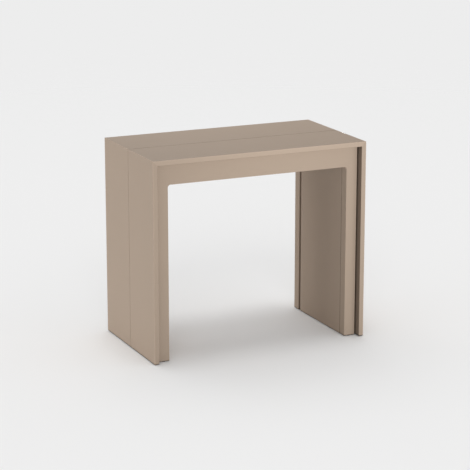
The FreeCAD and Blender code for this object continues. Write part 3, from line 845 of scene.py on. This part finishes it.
@dataclass(frozen=True)
class CrossScrew:
    """Countersunk wood screw: its domed head stands proud below Z = 0, its cone is above."""

    head_radius: float = 0.0036
    dome: float = 0.0012
    rim_share: float = 0.1
    depth: float = 0.0045
    cone_shares: tuple[Span, ...] = ((1.0, 0.0), (0.45, 0.5), (0.3, 1.0))
    recess: float = 0.001
    arm_share: float = 0.62
    arm_width: float = 0.0011
    arm_steepness: float = 2.0
    end_steepness: float = 4.0
    first_share: float = 0.04
    rows: int = 26
    places: int = 64

    def skin(self) -> Skin:
        """Head with a cross recess, over a blunt cone.

        The dome falls with the square of the radius to a low rim. The recess is its depth times the
        smooth step of two ramps' product: one ramp falls with the distance from the nearer arm's
        middle line, the other with the distance along the arm.

        Returns:
            The closed skin.
        """
        angles = round_angles(self.places)
        shares = np.linspace(self.first_share, 1.0, self.rows)[:, None]
        head = turned_rings(shares * self.head_radius, 0.0, angles)
        across, along = np.moveaxis(np.sort(abs(head[..., :2]), axis=-1), -1, 0)
        arm = np.clip(self.arm_steepness * (1 - across / self.arm_width), 0, 1)
        end = np.clip(self.end_steepness * (1 - along / (self.arm_share * self.head_radius)), 0, 1)
        inside = arm * end
        sink = self.recess * inside * inside * (3 - 2 * inside)
        head[..., 2] = sink - self.dome * (1 - shares ** 2 + self.rim_share)
        cone = stacked_rings([(share * self.head_radius, height * self.depth)
                              for share, height in self.cone_shares], angles)
        return wrap_rings(np.concatenate([head, cone]), (self.recess - self.dome, self.depth))


@dataclass(frozen=True)
class Pad:
    """Flat block with rounded corners and edges, standing on Z = 0 about the Z axis."""

    width: float
    length: float
    height: float
    corner: float
    edge: float
    arc_places: int = 7

    def skin(self) -> Skin:
        """Rounded rectangle carried up a rounded edge.

        Each quarter of the outline turns about its own corner's centre. A station of the edge, at
        angle t, draws the outline in by the edge's radius times 1 - sin t and lies at that radius
        times 1 - cos t from the nearer face.

        Returns:
            The closed skin.
        """
        quarter = np.linspace(0, math.pi / 2, self.arc_places)
        turns = np.concatenate([quarter + step * math.pi / 2 for step in range(4)])
        signs = np.repeat(np.array([(1, 1), (-1, 1), (-1, -1), (1, -1)]), self.arc_places, axis=0)
        centres = signs * (np.array([self.width, self.length]) / 2 - self.corner)
        inset = self.edge * (1 - np.sin(quarter))
        rise = self.edge * (1 - np.cos(quarter))
        insets = np.concatenate([inset, inset[::-1]])[:, None, None]
        heights = np.concatenate([rise, self.height - rise[::-1]])[:, None, None]
        ways = np.stack([np.cos(turns), np.sin(turns)], axis=-1)
        flat = centres + (self.corner - insets) * ways
        rings = np.concatenate([flat, np.broadcast_to(heights, (*flat.shape[:2], 1))], axis=-1)
        return wrap_rings(rings, (0.0, self.height))


@dataclass
class SubAssembly:
    """A group of pieces that are made and dressed together, from finishes that the table shares."""

    finishes: dict[Slot, bpy.types.Material]
    sharp_angle: ClassVar[float] = math.radians(32)
    weld_distance: ClassVar[float] = 1e-6
    ease: ClassVar[float] = 0.0006
    ease_segments: ClassVar[int] = 2

    def build(self) -> None:
        """Make the new pieces of the sub-assembly, where it has any."""

    def dress(self) -> None:
        """Give the frame's nodes in the sub-assembly their finishes."""
        raise NotImplementedError

    def coat(self, node: str, material: bpy.types.Material, eased: bool = False) -> None:
        """Give a node of the frame its finish.

        Args:
            node: The node's name.
            material: Its finish.
            eased: Whether its edges are slightly rounded.
        """
        piece = frame["nodes"][node]
        for slot in piece.material_slots:
            slot.material = material
        if eased:
            weld = piece.modifiers.new("weld", "WELD")
            weld.merge_threshold = self.weld_distance
            bevel = piece.modifiers.new("ease", "BEVEL")
            bevel.width = self.ease
            bevel.segments = self.ease_segments
            bevel.limit_method = "ANGLE"
            bevel.angle_limit = self.sharp_angle
        log.info("%s: dressed in %s", node, material.name)

    def add(self, name: str, skins: list[Skin], body: str, slot: Slot,
            replaces: tuple[str, ...] = ()) -> None:
        """Make a new piece and let it ride on a body.

        Args:
            name: The piece's name.
            skins: Surfaces that make it up, in place.
            body: Body of the frame that carries it.
            slot: Slot of its finish.
            replaces: Nodes of the frame that it stands for.
        """
        piece = Skin.joined(skins).put_in_scene(name, self.finishes[slot])
        piece.data.shade_smooth()
        piece.data.set_sharp_from_angle(angle=self.sharp_angle)
        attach(piece, body)
        if replaces:
            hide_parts(*replaces)
        log.info("%s: %d faces on %s", name, len(piece.data.polygons), body)


@dataclass
class HalfShell(SubAssembly):
    """Top, sides, portal frame and inner blocks of one half, on its glides."""

    half: Half
    post_width: float = 0.0425
    block_leg: float = 0.028
    block_blunt: float = 0.005
    block_screw_pitch: float = 0.07
    block_screw_count: int = 2
    cleat_screw_pitch: float = 0.12
    cleat_screw_count: int = 4
    screw: CrossScrew = CrossScrew()
    side_glides: Span = (0.05, 0.19)
    leg_glides: Span = (-0.1, 0.1)
    glide: Pad = Pad(0.012, 0.030, 0.003, corner=0.003, edge=0.0008)
    # Painted light on the top's outer edge face.
    top_edge_share: float = 0.09
    # Painted shade line where the leg board meets the post.
    post_joint: Joint = Joint(start=(0.0001, 0.0002), end=(0.0007, 0.001), share=0.52)

    def build(self) -> None:
        """Make the glides and the screws of the cleat and the corner blocks."""
        self.add_cleat_screws()
        self.add_block_screws()
        self.add_glides()

    def add_cleat_screws(self) -> None:
        """A row of screws up through the apron's cleat into the top."""
        cleat = Box.of(self.half.piece("apron_cleat"))
        skins = [self.screw.skin().placed((shift, cleat.middle[1], cleat.low[2]), UP)
                 for shift in self.cleat_screw_pitch * row_steps(self.cleat_screw_count)]
        self.add(self.half.piece("cleat_screws"), skins, self.half.body, Slot.ZINC)

    def add_block_screws(self) -> None:
        """Two screws square to the slanted face of each corner block."""
        blocks = Box.of(self.half.piece("corner_blocks"))
        inset = (self.block_leg + self.block_blunt) / 2
        places = [(blocks.high[0] - inset, blocks.middle[1] + shift, blocks.high[2] - inset)
                  for shift in self.block_screw_pitch * row_steps(self.block_screw_count)]
        skins = self.screw.skin().on_both_sides(places, (1.0, 0.0, 1.0))
        self.add(self.half.piece("block_screws"), skins, self.half.body, Slot.ZINC)

    def add_glides(self) -> None:
        """Pads under each side panel, each post and, in the front half, each leg board."""
        panel, portal = (Box.of(self.half.piece(board)) for board in ("right_side_panel", "portal_frame"))
        places = [(panel.middle[0], self.half.value * along, 0.0) for along in self.side_glides]
        places.append((portal.high[0] - self.post_width / 2, portal.middle[1], 0.0))
        if self.half is Half.FRONT:
            places += [(Box.of(RIGHT_LEG).middle[0], along, 0.0) for along in self.leg_glides]
        skins, replaced = self.glide.skin().on_both_sides(places, UP), (self.half.piece("glides"),)
        self.add(self.half.piece("glide_pads"), skins, self.half.body, Slot.NYLON, replaced)

    def dress(self) -> None:
        """Give the boards their lacquer and the inner blocks their bare fibreboard."""
        piece, way = self.half.piece, self.half.value
        boards = ("top_panel", "right_side_panel", "portal_frame")
        top, panel, portal = (Box.of(piece(board)) for board in boards)
        # The sides and the top carry painted shade on their inner faces in the shadow gap.
        sides = Lacquer((panel.high[0], way * top.reach, top.high[2]),
                        inner_faces=(panel.low[0], top.low[2]))
        side_lacquer = sides.material(piece("side_lacquer"))
        for side in Side:
            self.coat(piece(f"{side.label}_side_panel"), side_lacquer)
        tops = replace(sides, edge_share=self.top_edge_share)
        self.coat(piece("top_panel"), tops.material(piece("top_lacquer")))
        posts = Lacquer((portal.high[0], way * portal.reach, portal.low[2]),
                        replace(self.post_joint, place=Box.of(RIGHT_LEG).low[1]))
        self.coat(piece("portal_frame"), posts.material(piece("portal_lacquer")))
        for block in ("spacer_strips", "corner_blocks", "apron_cleat"):
            self.coat(piece(block), self.finishes[Slot.FIBREBOARD], eased=True)


@dataclass
class LegBoards(SubAssembly):
    """Inner leg boards of the front half, with their battens and loose tongues."""

    # Painted shade line at the leg board's front edge, where it meets the post.
    joint: Joint = Joint(start=(-0.0002, -0.0001), share=0.52)

    def dress(self) -> None:
        """Lacquer the boards and leave what joins them bare."""
        box = Box.of(RIGHT_LEG)
        boards = Lacquer((box.low[0], box.high[1], box.low[2]), replace(self.joint, place=box.low[1]))
        lacquer = boards.material("leg_board_lacquer")
        for board in (LEFT_LEG, RIGHT_LEG):
            self.coat(board, lacquer)
        self.coat("front_leg_battens", self.finishes[Slot.FIBREBOARD], eased=True)
        self.coat("front_leg_tongues", self.finishes[Slot.BEECH])


@dataclass
class SeamFittings(SubAssembly):
    """Tongues, magnets and strike plates in the edges that meet at the seam."""

    width: float = 0.024
    thickness: float = 0.008
    corner: float = 0.001
    edge: float = 0.0004
    top_distance: float = 0.14
    side_heights: Span = (0.18, 0.58)
    plate_screw_pitch: float = 0.014
    plate_screw_count: int = 2
    plate_screw: CrossScrew = CrossScrew(head_radius=0.0026, dome=0.0003, depth=0.0018, recess=0.00025,
                                         arm_width=0.0008)

    def build(self) -> None:
        """Make the magnets of the rear half, and the plates and their screws of the front half."""
        self.add_blocks("rear_seam_magnets", "rear_magnets", Half.REAR, Slot.NICKEL)
        self.add_blocks("front_seam_plates", "front_strike_plates", Half.FRONT, Slot.ZINC)
        self.add_plate_screws()

    def places(self) -> list[tuple[float, float, bool]]:
        """Where the magnets and the plates sit along the seam.

        Returns:
            Place across, height and whether the block stands upright, for each.
        """
        top, panel = Box.of("rear_top_panel"), Box.of("rear_right_side_panel")
        tops = [(side.value * self.top_distance, top.middle[2], False) for side in Side]
        sides = [(side.value * panel.middle[0], height, True)
                 for side in Side for height in self.side_heights]
        return tops + sides

    def add_blocks(self, name: str, node: str, half: Half, slot: Slot) -> None:
        """Rounded blocks that lie in the top and stand in the sides, flush with the seam edge.

        Args:
            name: The new piece's name.
            node: Node of the frame that it stands for.
            half: Half that carries it.
            slot: Slot of its finish.
        """
        box = Box.of(node)
        depth = box.high[1] - box.low[1]
        back = box.low[1] if half is Half.FRONT else box.high[1]
        skins = []
        for across, up, upright in self.places():
            sides = (self.thickness, self.width) if upright else (self.width, self.thickness)
            block = Pad(*sides, depth, self.corner, self.edge).skin()
            skins.append(block.placed((across, back, up), (0, -half.value, 0)))
        self.add(name, skins, half.body, slot, (node,))

    def add_plate_screws(self) -> None:
        """Two low-headed screws in each strike plate, along its length."""
        face = Box.of("front_strike_plates").high[1]
        skins = []
        for across, up, upright in self.places():
            for shift in self.plate_screw_pitch * row_steps(self.plate_screw_count):
                place = (across, face, up + shift) if upright else (across + shift, face, up)
                skins.append(self.plate_screw.skin().placed(place, (0, -1, 0)))
        self.add("front_plate_screws", skins, Half.FRONT.body, Slot.ZINC)

    def dress(self) -> None:
        """Leave the tongues bare beech."""
        self.coat("front_alignment_tongues", self.finishes[Slot.BEECH], eased=True)


@dataclass
class Slides(SubAssembly):
    """Both telescopic slides: rails, ties and stops, with the screws and bolts that hold them."""

    stages: tuple[str, ...] = ("stage_1", "stage_2", "stage_3", "stage_4", "stage_5")
    screw_hexagon: Hexagon = Hexagon(0.007, crown_share=0.92)
    screw_head: float = 0.0028
    screw_thread: Thread = Thread(0.002, 0.0007)
    bolt_thread: Thread = Thread(0.003, 0.001)
    bolt_places: int = 36
    bolt_head: Pad = Pad(0.011, 0.012, 0.0024, corner=0.0006, edge=0.0003)
    slot_lip: float = 0.0024
    nut_hexagon: Hexagon = Hexagon(0.010, crown_share=0.94)
    nut_height: float = 0.005
    batten: float = 0.022
    batten_screw: CrossScrew = CrossScrew()
    batten_screw_pitch: float = 0.05
    batten_screw_count: int = 2

    def build(self) -> None:
        """Make every screw, bolt and nut of the slides."""
        for stage in self.stages:
            self.add_tie_screws(stage)
        self.add_rail_screws()
        self.add_rail_bolts()
        self.add_batten_screws()

    def hex_screw(self, length: float) -> Skin:
        """One six-sided screw of a given length under its head."""
        return HexScrew(self.screw_hexagon, self.screw_head, self.screw_thread, length).skin()

    def add_tie_screws(self, stage: str) -> None:
        """A screw up through each end of a tie into the rail above it.

        Args:
            stage: Stage that the tie belongs to, which is also the body that carries it.
        """
        node = f"{stage}_tie_screws"
        box = Box.of(node)
        seat = box.low[2] + self.screw_head
        place = (box.high[0] - self.screw_hexagon.flats / 2, box.middle[1], seat)
        skins = self.hex_screw(box.high[2] - seat).on_both_sides([place], UP)
        self.add(f"{stage}_hex_screws", skins, stage, Slot.ZINC, (node,))

    def add_rail_screws(self) -> None:
        """Two screws out through each batten into the rear rail beside it."""
        node = "rear_rail_screws"
        box = Box.of(node)
        seat = Box.of("rear_right_rail").low[0] - self.batten
        places = [(seat, along, box.middle[2]) for along in box.ends(self.screw_hexagon.flats)]
        skins = self.hex_screw(box.high[0] - seat).on_both_sides(places, RIGHT)
        self.add("rear_rail_hex_screws", skins, Half.REAR.body, Slot.ZINC, (node,))

    def add_rail_bolts(self) -> None:
        """Two bolts through each leg board, with flat heads in the rail's slot and nuts outside."""
        node = "front_rail_bolts"
        box, board = Box.of(node), Box.of(RIGHT_LEG)
        seat = board.low[0] - self.slot_lip
        reach = box.high[0] - seat
        rings = self.bolt_thread.rings(0.0, reach, round_angles(self.bolt_places))
        nut = HexNut(self.nut_hexagon, self.nut_height, self.bolt_thread.radius)
        parts = ((self.bolt_head.skin(), seat - self.bolt_head.height),
                 (wrap_rings(rings, (0.0, reach)), seat), (nut.skin(), board.high[0]))
        skins = []
        for part, start in parts:
            places = [(start, along, box.middle[2]) for along in box.ends(self.bolt_head.width)]
            skins += part.on_both_sides(places, RIGHT)
        self.add("front_tee_bolts", skins, Half.FRONT.body, Slot.ZINC, (node,))

    def add_batten_screws(self) -> None:
        """Two screws up through each rail batten into the top."""
        battens = Box.of("rear_rail_battens")
        places = [(battens.high[0] - self.batten / 2, battens.middle[1] + shift, battens.low[2])
                  for shift in self.batten_screw_pitch * row_steps(self.batten_screw_count)]
        skins = self.batten_screw.skin().on_both_sides(places, UP)
        self.add("rear_batten_screws", skins, Half.REAR.body, Slot.ZINC)

    def dress(self) -> None:
        """Anodise the rails and ties, and dress the battens and the stops."""
        for owner in ("rear", *self.stages, "front"):
            for side in Side:
                self.coat(f"{owner}_{side.label}_rail", self.finishes[Slot.ALUMINIUM])
        for stage in self.stages:
            self.coat(f"{stage}_cross_tie", self.finishes[Slot.ALUMINIUM])
        for stops in (*(f"{stage}_stops" for stage in self.stages), "rear_rail_plugs", "front_rail_lugs"):
            self.coat(stops, self.finishes[Slot.NYLON])
        self.coat("rear_rail_battens", self.finishes[Slot.FIBREBOARD])


class Lit(Enum):
    """What a lamp shines on: how things are listed among what it reaches, and which things.

    The shell is the table without its inner leg boards, which draw out right up to the key lamp.
    """

    TABLE = ("EXCLUDE", (STUDIO_FLOOR,))
    SHELL = ("EXCLUDE", (STUDIO_FLOOR, LEFT_LEG, RIGHT_LEG))
    LEGS = ("INCLUDE", (LEFT_LEG, RIGHT_LEG))
    FLOOR = ("INCLUDE", (STUDIO_FLOOR,))


@dataclass
class Lamp:
    """A soft light that faces a target.

    The size is the side of a square soft box in metres or, for a light on the floor alone, the angle
    in radians that it spreads over; the power is in watts or in watts per square metre. A lamp that
    isn't mirrored makes no highlights.
    """

    name: str
    place: Point
    size: float
    power: float
    lit: Lit = Lit.TABLE
    target: Point = (0.0, 0.0, 0.4)
    mirrored: bool = True

    def hang(self, floor: bpy.types.Object) -> None:
        """Put the lamp in its place, facing its target, and list what it reaches.

        Args:
            floor: The studio's floor.
        """
        if self.lit is Lit.FLOOR:
            data = bpy.data.lights.new(self.name, "SUN")
            data.angle = self.size
        else:
            data = bpy.data.lights.new(self.name, "AREA")
            data.size = self.size
        data.energy = self.power
        lamp = bpy.data.objects.new(self.name, data)
        lamp.location = self.place
        lamp.visible_camera = False
        lamp.visible_glossy = self.mirrored
        lamp.rotation_mode = "QUATERNION"
        lamp.rotation_quaternion = (Vector(self.target) - lamp.location).to_track_quat("-Z", "Y")
        bpy.context.scene.collection.objects.link(lamp)
        state, names = self.lit.value
        things = {**frame["nodes"], STUDIO_FLOOR: floor}
        reached = bpy.data.collections.new(f"{self.name}_reach")
        for name in names:
            reached.objects.link(things[name])
        for listed in reached.collection_objects:
            listed.light_linking.link_state = state
        lamp.light_linking.receiver_collection = reached


@dataclass
class Studio:
    """Pale floor that runs out into a pale surround, soft light and the camera."""

    pale_level: int = 237
    sky: float = 0.25
    floor_radius: float = 24.0
    floor_rings: int = 24
    floor_places: int = 96
    fade: Span = (2.5, 7.0)
    lamps: list[Lamp] = field(default_factory=lambda: [
        Lamp("key_box", (0.2, -1.5, 0.85), 0.5, 9.2, Lit.SHELL, mirrored=False),
        Lamp("leg_box", (-0.11, -3.98, 1.59), 1.3, 65.0, Lit.LEGS, (0.39, 0.0, 0.4), mirrored=False),
        Lamp("right_box", (2.6, -3.2, 0.9), 1.2, 19.5),
        Lamp("left_box", (-4.2, 0.9, 0.9), 1.0, 31.0),
        Lamp("wide_left_box", (-4.5, -0.2, 0.9), 2.0, 38.0),
        Lamp("overhead_box", (0.3, 1.6, 3.2), 0.8, 47.0),
        Lamp("rear_box", (2.4, 3.4, 0.35), 0.6, 60.0),
        Lamp("wide_overhead", (0.0, 0.0, 3.0), 2.2, 1.08, Lit.FLOOR),
        Lamp("close_overhead", (0.0, 0.0, 3.0), 0.35, 0.62, Lit.FLOOR),
        Lamp("rear_slant", (0.0, 1.6, 3.0), 0.8, 0.475, Lit.FLOOR, (0.0, 0.0, 0.0)),
        Lamp("front_left_slant", (-1.6, -3.6, 2.4), 0.5, 0.535, Lit.FLOOR, (0.0, 0.0, 0.0)),
    ])
    camera_place: Point = (-2.850, -6.167, 2.1305)
    camera_turn: Point = (75.59, 0.0, -24.81)
    frame_pixels: float = 470.0
    focal_pixels: float = 1871.0
    sensor: float = 36.0

    @property
    def pale(self) -> Colour:
        """Grey of the floor and the surround, as light."""
        return SCREEN.colour((self.pale_level / SCREEN.levels,) * 3)

    def build(self) -> None:
        """Set up the whole studio."""
        bpy.context.scene.view_settings.view_transform = "Standard"
        floor = self.lay_floor()
        self.light_surround()
        for lamp in self.lamps:
            lamp.hang(floor)
        self.set_camera()

    def lay_floor(self) -> bpy.types.Object:
        """Lay a flat disc whose rings widen with the square of their number, clear at its rim.

        Returns:
            The floor's object.
        """
        shares = (np.arange(1, self.floor_rings + 1) / self.floor_rings)[:, None]
        rings = turned_rings(self.floor_radius * shares ** 2, 0.0, round_angles(self.floor_places))
        numbers = np.arange(rings.shape[0] * rings.shape[1]).reshape(rings.shape[:2])
        ahead = np.roll(numbers, -1, axis=1)
        quads = np.stack([numbers[:-1], numbers[1:], ahead[1:], ahead[:-1]], axis=-1).reshape(-1, 4)
        disc = Skin(rings.reshape(-1, 3), [quads, numbers[:1]])
        floor = disc.put_in_scene(STUDIO_FLOOR, self.floor_material())
        return floor

    def floor_material(self) -> bpy.types.Material:
        """Make matt pale paper, clear from below, that gives way to the surround far from the table.

        Returns:
            The floor's material.
        """
        material = bpy.data.materials.new("pale_floor")
        bench = Bench(material)
        away = bench.node("ShaderNodeVectorMath", {"operation": "LENGTH"}, {0: bench.place()}, "Value")
        paper = bench.node("ShaderNodeBsdfDiffuse", {}, {"Color": self.pale})
        clear = bench.node("ShaderNodeBsdfTransparent")
        below = bench.node("ShaderNodeNewGeometry", output="Backfacing")
        share = away.step(*self.fade).most(below)
        shader = bench.node("ShaderNodeMixShader", {}, {0: share, 1: paper, 2: clear})
        bench.node("ShaderNodeOutputMaterial", {}, {"Surface": shader})
        return material

    def light_surround(self) -> None:
        """Even light from all round, which shows to the eye and to bright metal as the pale ground."""
        world = bpy.data.worlds.new("surround")
        bpy.context.scene.world = world
        bench = Bench(world)
        path = bench.node("ShaderNodeLightPath", output="Is Camera Ray")
        seen = path.most(path.output("Is Glossy Ray")).most(path.output("Is Transmission Ray"))
        light = bench.node("ShaderNodeBackground", {}, {"Color": WHITE, "Strength": self.sky})
        ground = bench.node("ShaderNodeBackground", {}, {"Color": self.pale, "Strength": 1.0})
        shader = bench.node("ShaderNodeMixShader", {}, {0: seen, 1: light, 2: ground})
        bench.node("ShaderNodeOutputWorld", {}, {"Surface": shader})

    def set_camera(self) -> None:
        """Stand the camera where the photograph was taken from."""
        data = bpy.data.cameras.new("camera")
        data.sensor_width = self.sensor
        data.lens = self.focal_pixels / self.frame_pixels * self.sensor
        camera = bpy.data.objects.new("camera", data)
        camera.location = self.camera_place
        camera.rotation_euler = [math.radians(turn) for turn in self.camera_turn]
        bpy.context.scene.collection.objects.link(camera)
        bpy.context.scene.camera = camera


def shared_finishes() -> dict[Slot, bpy.types.Material]:
    """Make one material for each finish that several sub-assemblies share."""
    finishes = (Fibreboard(), Beech(), Anodised(), Plated(), Nickel(), Nylon())
    return {finish.slot: finish.material(f"{finish.slot.value}_finish") for finish in finishes}


def main() -> None:
    """Build and dress every sub-assembly in order, then set up the studio round them."""
    logging.basicConfig(level=logging.INFO, format="%(message)s")
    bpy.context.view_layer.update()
    finishes = shared_finishes()
    shells = [HalfShell(finishes, half) for half in Half]
    for assembly in (*shells, LegBoards(finishes), SeamFittings(finishes), Slides(finishes)):
        assembly.build()
        assembly.dress()
    Studio().build()


if __name__ == "__main__":
    main()
